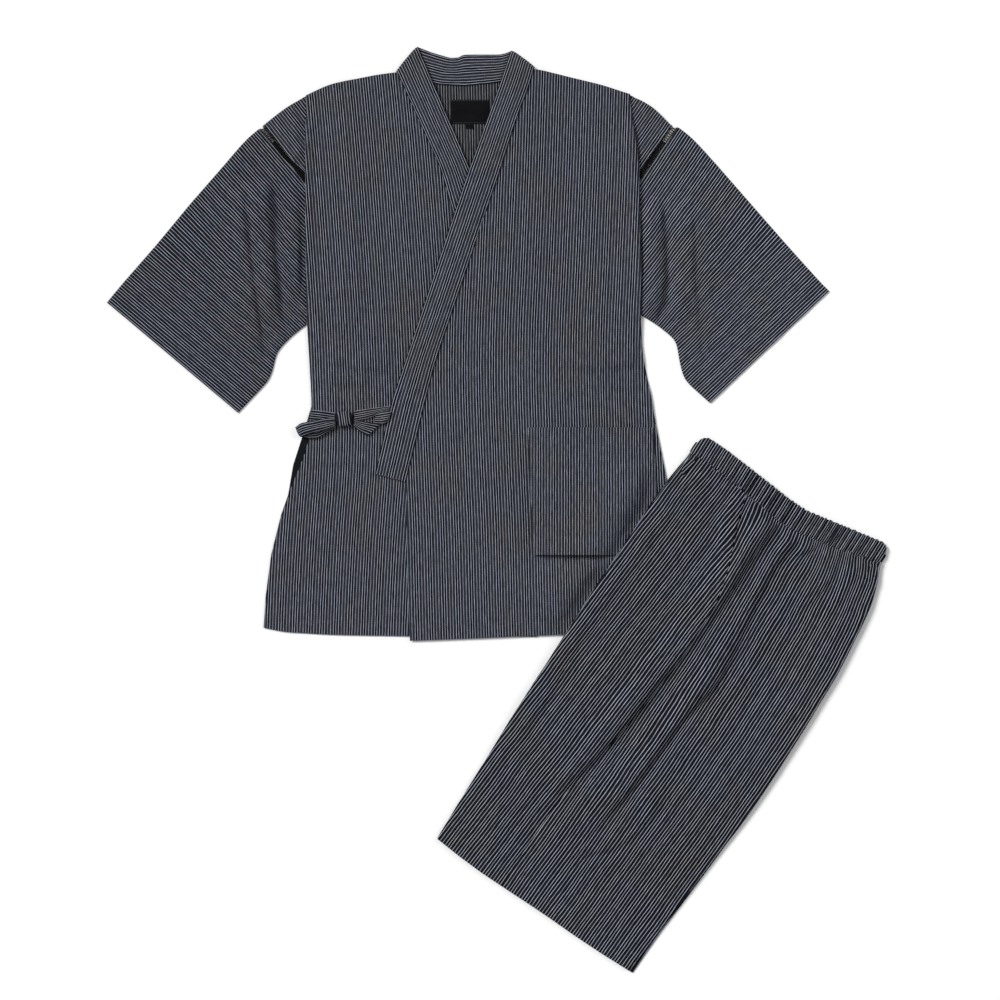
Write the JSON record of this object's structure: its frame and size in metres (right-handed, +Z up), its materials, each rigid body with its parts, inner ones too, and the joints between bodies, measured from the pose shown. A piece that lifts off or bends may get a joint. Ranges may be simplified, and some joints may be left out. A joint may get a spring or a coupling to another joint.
{
  "type": "jinbei set",
  "caption": "Short cross-over summer jacket tied at the side, with open ladder lace at the shoulders, and matching elastic-waist shorts in dark striped cotton, laid flat.",
  "frame": {"origin": "on the surface the set lies on, under the middle of the whole set's bounding box", "axes": "+Z up off the surface; +Y from the jacket's hem towards its neck; +X to the viewer's right, which is the wearer's left"},
  "size_m": [1.0677, 1.2702, 0.0108],
  "materials": {
    "jacket_cloth": "matt puckered cotton, dark navy with groups of fine pale grey warp stripes",
    "jacket_cloth_inside": "the same cotton, its inside face at the neck",
    "shorts_cloth": "the same striped cotton, gathered at the waist",
    "lace": "black cotton ladder lace",
    "label": "black woven satin, bare"
  },
  "bodies": {
    "root": {"jacket_back": "jacket_cloth_inside", "jacket_right_sleeve": "jacket_cloth", "jacket_left_sleeve": "jacket_cloth", "jacket_right_front": "jacket_cloth", "jacket_left_front": "jacket_cloth", "jacket_collar": "jacket_cloth", "jacket_pocket": "jacket_cloth", "tie_side_strap": "jacket_cloth", "tie_front_strap": "jacket_cloth", "tie_loop": "jacket_cloth", "tie_short_end": "jacket_cloth", "tie_long_end": "jacket_cloth", "tie_knot": "jacket_cloth", "jacket_right_lace": "lace", "jacket_left_lace": "lace", "jacket_label": "label", "jacket_size_tab": "label", "shorts_right_leg_front": "shorts_cloth", "shorts_right_leg_back": "shorts_cloth", "shorts_left_leg_front": "shorts_cloth", "shorts_left_leg_back": "shorts_cloth", "shorts_waistband": "shorts_cloth"}
  },
  "joints": []
}
